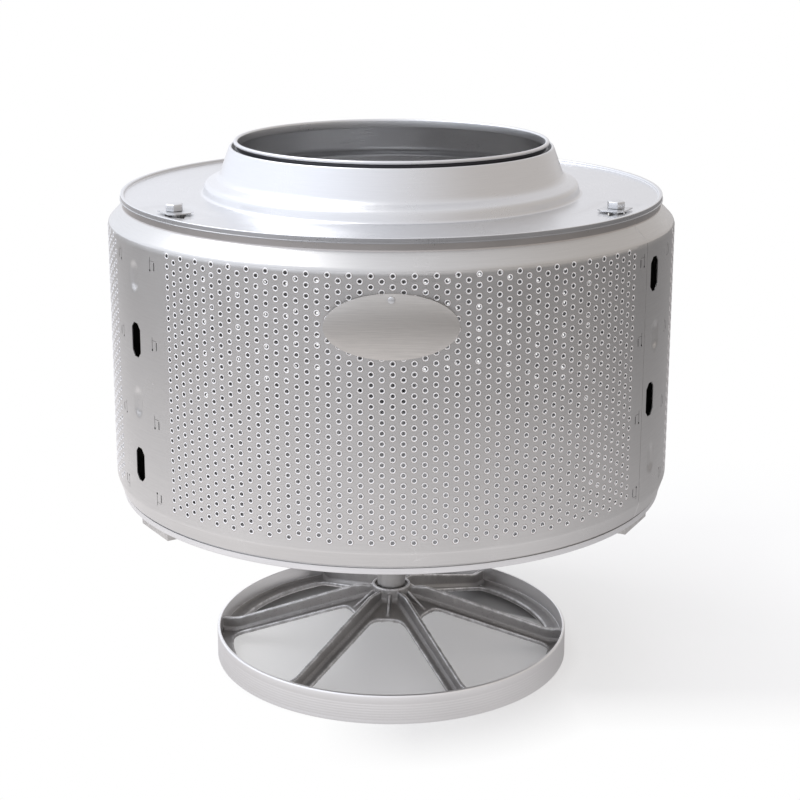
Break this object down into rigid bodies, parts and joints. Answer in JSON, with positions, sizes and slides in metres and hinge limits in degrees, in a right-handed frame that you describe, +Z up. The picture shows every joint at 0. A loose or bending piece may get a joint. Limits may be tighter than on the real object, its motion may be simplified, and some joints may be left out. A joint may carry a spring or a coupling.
{
  "type": "fire pit",
  "caption": "Fire pit made from a perforated stainless washing-machine drum, mouth up, standing on its shaft and spoked drive pulley.",
  "frame": {"origin": "on the ground, in the middle of the pulley's lower rim, on the drum's axis", "axes": "+Z up along the drum's axis, -Y toward the front with the badge, +X to the right of someone facing it"},
  "size_m": [0.48, 0.4833, 0.4632],
  "materials": {
    "shell_steel": "satin, pressed and perforated stainless sheet",
    "plate_steel": "satin, spun stainless sheet",
    "cast_aluminium": "dull as-cast, with a machined rim",
    "shaft_steel": "ground",
    "bolt_steel": "bright zinc plate",
    "sleeve_bronze": "turned",
    "badge_aluminium": "fine brushed"
  },
  "bodies": {
    "root": {"drum_shell": "shell_steel", "front_plate": "plate_steel", "rear_plate": "plate_steel", "lifter_left": "shell_steel", "lifter_right": "shell_steel", "lifter_rear": "shell_steel", "spider": "cast_aluminium", "drum_shaft": "shaft_steel", "drive_pulley": "cast_aluminium", "tie_bolt_left": "bolt_steel", "tie_bolt_right": "bolt_steel", "tie_bolt_rear": "bolt_steel", "lock_plate_left": "bolt_steel", "lock_plate_right": "bolt_steel", "lock_plate_rear": "bolt_steel", "badge_plate": "badge_aluminium", "badge_rivet": "bolt_steel", "pulley_bolt": "bolt_steel", "pulley_washer": "bolt_steel", "seal_sleeve": "sleeve_bronze"}
  },
  "joints": []
}
